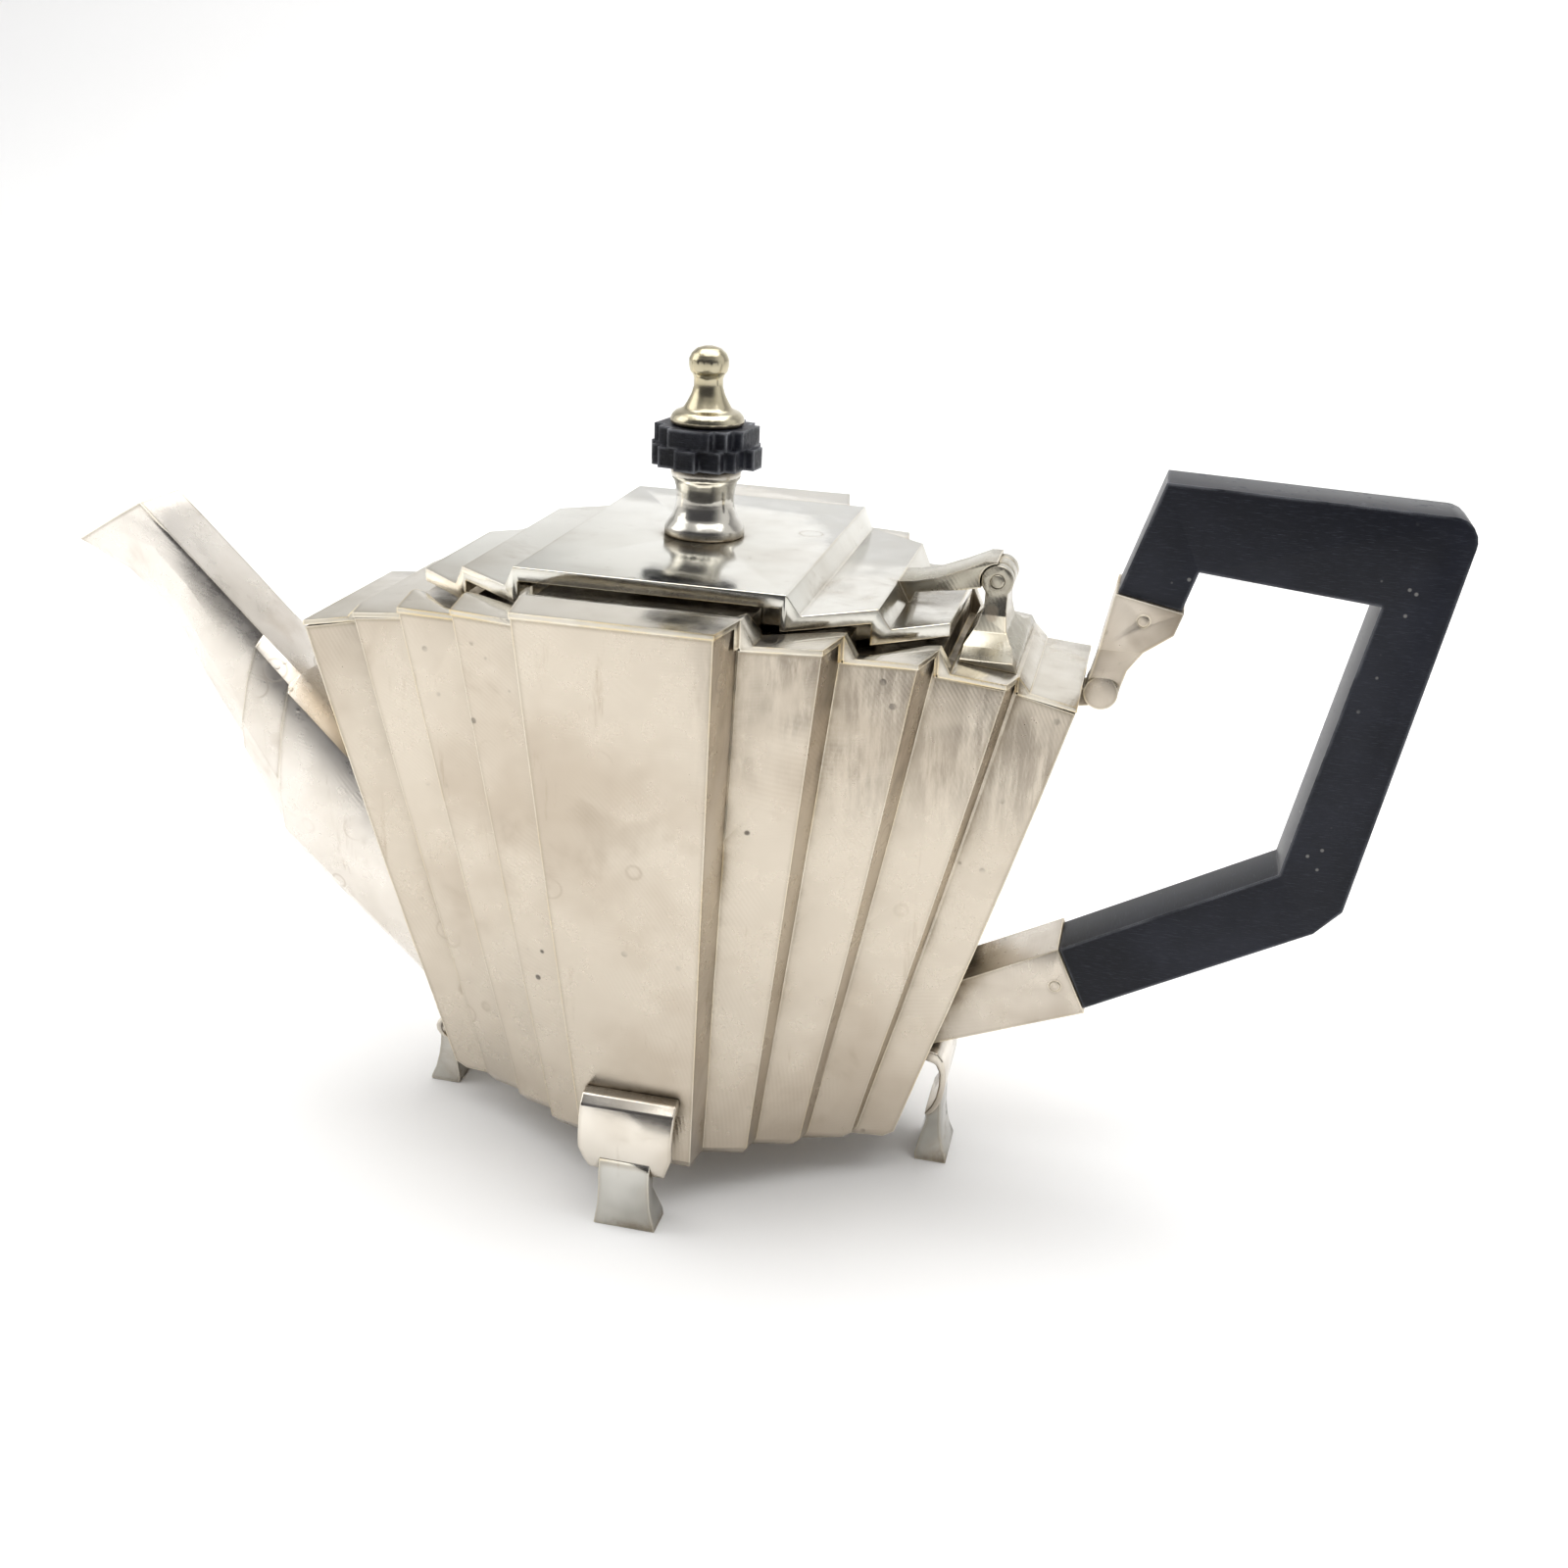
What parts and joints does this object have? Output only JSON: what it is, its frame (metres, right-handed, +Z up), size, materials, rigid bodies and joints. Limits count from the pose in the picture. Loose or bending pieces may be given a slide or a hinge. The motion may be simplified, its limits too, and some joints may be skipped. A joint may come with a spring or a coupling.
{
  "type": "silver-plated teapot",
  "caption": "Silver teapot with a ribbed, flaring body, stepped hinged lid, beak spout, black angular loop handle and splayed feet.",
  "frame": {"origin": "on the table, under the finial's axis and the middle of the lid", "axes": "+X towards the handle, -X towards the spout, +Y to the back panel, +Z up"},
  "size_m": [0.2776, 0.1168, 0.1653],
  "materials": {
    "silver_plate": "silver plate, satin from fine polishing scratches, tarnished in the corners",
    "shoulder_silver": "silver plate, glossy, worn to brass along its edges",
    "lid_silver": "silver plate, glossy, worn to brass along its edges",
    "spout_silver": "silver plate, satin, brown tarnish",
    "hinge_silver": "silver plate, worn and tarnished",
    "socket_silver": "silver plate with dark solder",
    "foot_silver": "silver plate, glossy, streaked with tarnish",
    "base_silver": "silver plate, dull and tarnished",
    "finial_gilt": "polished, silver worn to brass",
    "worn_brass": "dull",
    "finial_black": "satin black with chipped rough faces",
    "handle_black": "satin black with fine diagonal scratches and dust"
  },
  "bodies": {
    "pot": {"wall_front": "silver_plate", "wall_back": "silver_plate", "bottom_plate": "base_silver", "shoulder_plate": "shoulder_silver", "spout_shell": "spout_silver", "hinge_bracket": "hinge_silver", "hinge_pin": "hinge_silver", "handle_grip": "handle_black", "handle_ferrule": "socket_silver", "handle_socket": "socket_silver", "ferrule_pin": "socket_silver", "socket_pin": "socket_silver", "foot_strap_front": "foot_silver", "foot_strap_back": "foot_silver", "foot_strap_spout": "foot_silver", "foot_strap_handle": "foot_silver", "foot_shoe_front": "foot_silver", "foot_shoe_back": "foot_silver", "foot_shoe_spout": "foot_silver", "foot_shoe_handle": "foot_silver"},
    "lid": {"lid_plate": "lid_silver", "lid_bezel": "lid_silver", "hinge_leaf": "hinge_silver", "finial_foot": "lid_silver", "finial_block": "finial_black", "finial_top": "finial_gilt", "finial_stud": "worn_brass", "finial_nut": "worn_brass"}
  },
  "joints": [
    {"name": "lid_hinge", "type": "hinge", "parent": "pot", "child": "lid", "pos_m": [0.05814, 0, 0.1271], "axis": [0, 1, 0], "range_deg": [0, 105]}
  ]
}
